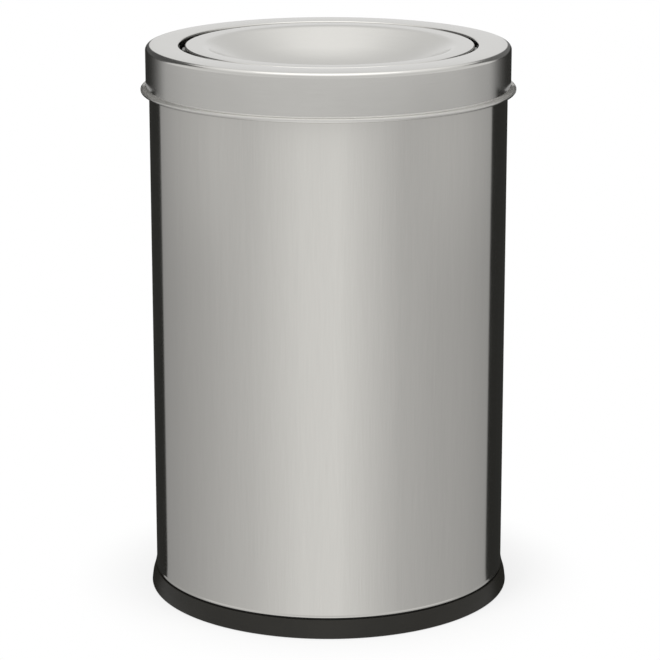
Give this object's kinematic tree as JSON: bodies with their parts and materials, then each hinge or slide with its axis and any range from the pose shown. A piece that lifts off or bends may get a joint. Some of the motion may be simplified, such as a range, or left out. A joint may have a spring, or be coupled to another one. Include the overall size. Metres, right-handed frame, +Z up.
{
  "type": "swing-top bin",
  "caption": "Round stainless-steel bin with a lift-off lid, a dished self-levelling swing flap, a lift-out inner bucket and a flared plastic base ring.",
  "frame": {"origin": "middle of the base ring, on the floor", "axes": "+Z up, -Y is the front, +X is to the right as seen from the front and along the flap's axis"},
  "size_m": [0.3142, 0.3142, 0.47],
  "materials": {
    "stainless_satin": "satin stainless sheet, fine vertical grain",
    "stainless_lid": "semi-bright pressed stainless",
    "stainless_plain": "mill-finish stainless",
    "base_plastic": "fine-textured black moulding",
    "bucket_plastic": "matt black moulding",
    "nylon": "black nylon",
    "zinc_fastener": "dull zinc plating",
    "weight_steel": "turned steel, dull zinc"
  },
  "bodies": {
    "housing": {"shell": "stainless_satin", "base_ring": "base_plastic", "bottom_pan": "stainless_plain", "base_screws": "zinc_fastener"},
    "bucket": {"inner_bucket": "bucket_plastic"},
    "lid": {"lid_ring": "stainless_lid", "pivot_bush_left": "nylon", "pivot_bush_right": "nylon"},
    "flap": {"flap_dish": "stainless_lid", "pivot_screw_left": "zinc_fastener", "pivot_screw_right": "zinc_fastener", "pivot_washer_left": "zinc_fastener", "pivot_washer_right": "zinc_fastener", "pivot_nut_left": "zinc_fastener", "pivot_nut_right": "zinc_fastener", "counterweight": "weight_steel", "weight_stud": "zinc_fastener", "weight_washer": "zinc_fastener", "weight_nut": "zinc_fastener"}
  },
  "joints": [
    {"name": "bucket_lift", "type": "slide", "parent": "housing", "child": "bucket", "axis": [0, 0, 1], "range_m": [0, 0.45]},
    {"name": "lid_lift", "type": "slide", "parent": "bucket", "child": "lid", "axis": [0, 0, 1], "range_m": [0, 0.15]},
    {"name": "flap_swing", "type": "hinge", "parent": "lid", "child": "flap", "pos_m": [0, 0, 0.4625], "axis": [1, 0, 0], "continuous": true}
  ]
}
